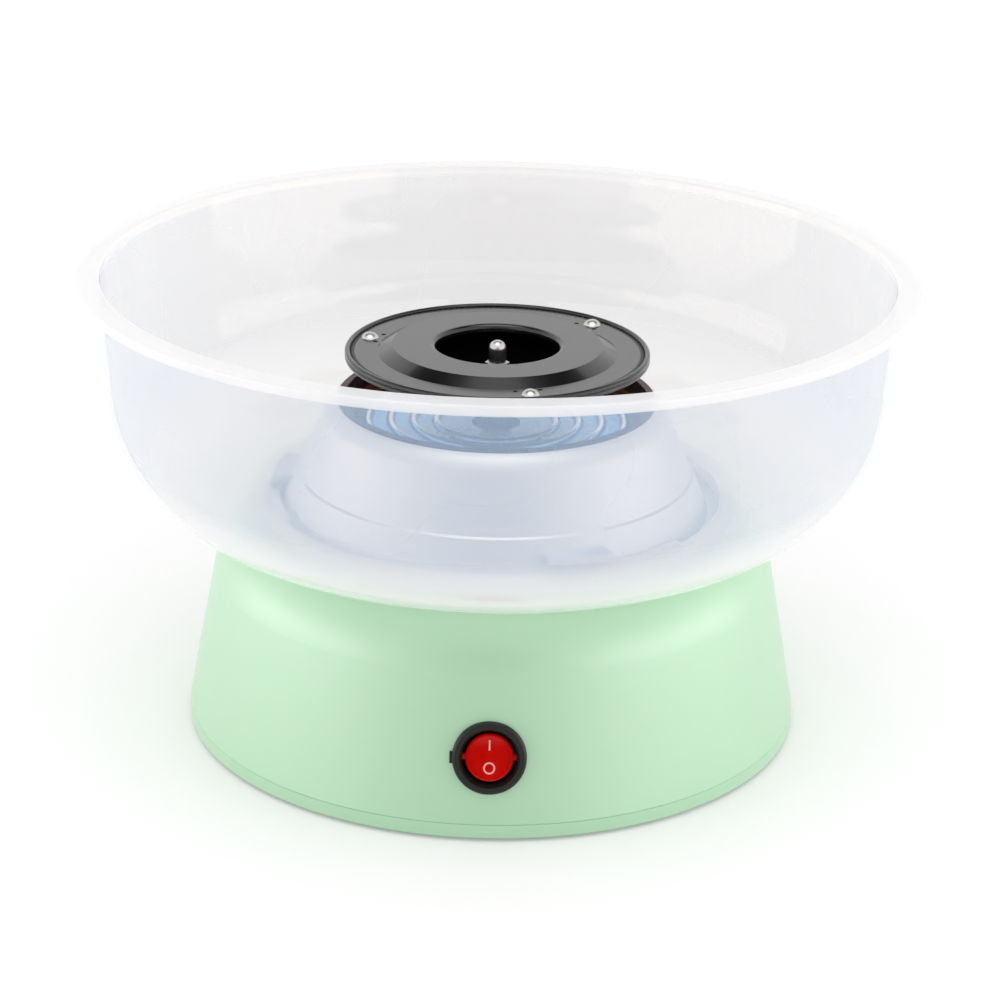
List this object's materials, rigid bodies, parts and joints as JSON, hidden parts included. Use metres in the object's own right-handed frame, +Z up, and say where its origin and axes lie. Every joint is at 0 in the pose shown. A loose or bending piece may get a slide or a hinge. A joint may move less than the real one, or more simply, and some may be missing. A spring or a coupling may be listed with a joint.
{
  "type": "table-top candy floss machine",
  "caption": "Flared round base with a rocker switch, a metal hood and heated dish, a spinning slotted sugar head and a wide clear lift-off catch bowl.",
  "frame": {"origin": "on the table plane under the shaft's axis, at the bottom of the feet", "axes": "+Z up along the shaft, +Y towards the back with the cord entry, so the switch faces -Y; +X to the right seen from the front"},
  "size_m": [0.2716, 0.2716, 0.1545],
  "materials": {
    "mint_plastic": "gloss moulded ABS, mint green",
    "hood_aluminium": "satin pressed aluminium",
    "clear_plastic": "clear, faintly milky moulded plastic",
    "blued_steel": "heat blued pressed steel",
    "black_coat": "black coated aluminium",
    "outlet_metal": "etched heater strip",
    "bright_steel": "plain steel",
    "zinc_steel": "zinc plated steel",
    "motor_steel": "drawn steel case",
    "chromed": "polished",
    "switch_black": "moulded black nylon",
    "switch_red": "translucent red, printed I and O",
    "black_rubber": "moulded rubber",
    "cap_plastic": "moulded brush cap",
    "bush_plastic": "moulded cord bush",
    "clamp_plastic": "moulded nylon",
    "steatite": "fired steatite",
    "resistance_wire": "oxidised",
    "bronze": "sintered bronze",
    "brass_blade": "plated brass",
    "board_laminate": "paper laminate"
  },
  "bodies": {
    "base": {"base_housing": "mint_plastic", "bottom_cover": "mint_plastic", "rubber_feet": "black_rubber", "cover_screws": "zinc_steel", "heater_hood": "hood_aluminium", "heated_dish": "blued_steel", "dish_screws": "bright_steel", "dish_pillars": "zinc_steel", "heat_shield": "bright_steel", "heater_former": "steatite", "heater_coil": "resistance_wire", "thermal_cutout": "bright_steel", "motor_bracket": "zinc_steel", "bracket_dampers": "black_rubber", "bracket_screws": "zinc_steel", "motor_can": "motor_steel", "motor_end_cap": "cap_plastic", "motor_screws": "zinc_steel", "shaft_bush": "bronze", "switch_body": "switch_black", "switch_blades": "brass_blade", "cord_bush": "bush_plastic", "cord_clamp": "clamp_plastic", "clamp_saddle": "clamp_plastic", "clamp_screws": "zinc_steel", "rectifier_board": "board_laminate", "terminal_block": "steatite"},
    "shaft": {"drive_shaft": "bright_steel", "drive_pin": "bright_steel", "drive_collar": "bright_steel"},
    "head": {"head_pan": "black_coat", "head_cover": "black_coat", "outlet_ring": "outlet_metal", "head_spacers": "bright_steel", "head_screws": "bright_steel", "head_hub": "bright_steel", "head_nut": "bright_steel", "head_stud": "chromed"},
    "rocker": {"rocker_button": "switch_red"},
    "bowl": {"catch_bowl": "clear_plastic"}
  },
  "joints": [
    {"name": "shaft_spin", "type": "hinge", "parent": "base", "child": "shaft", "pos_m": [0, 0, 0], "axis": [0, 0, 1], "continuous": true},
    {"name": "head_lift", "type": "slide", "parent": "shaft", "child": "head", "axis": [0, 0, 1], "range_m": [0, 0.045]},
    {"name": "rocker_tilt", "type": "hinge", "parent": "base", "child": "rocker", "pos_m": [0, -0.09596, 0.02669], "axis": [1, 0, 0], "range_deg": [0, 16]},
    {"name": "bowl_lift", "type": "slide", "parent": "base", "child": "bowl", "axis": [0, 0, 1], "range_m": [0, 0.08]}
  ]
}
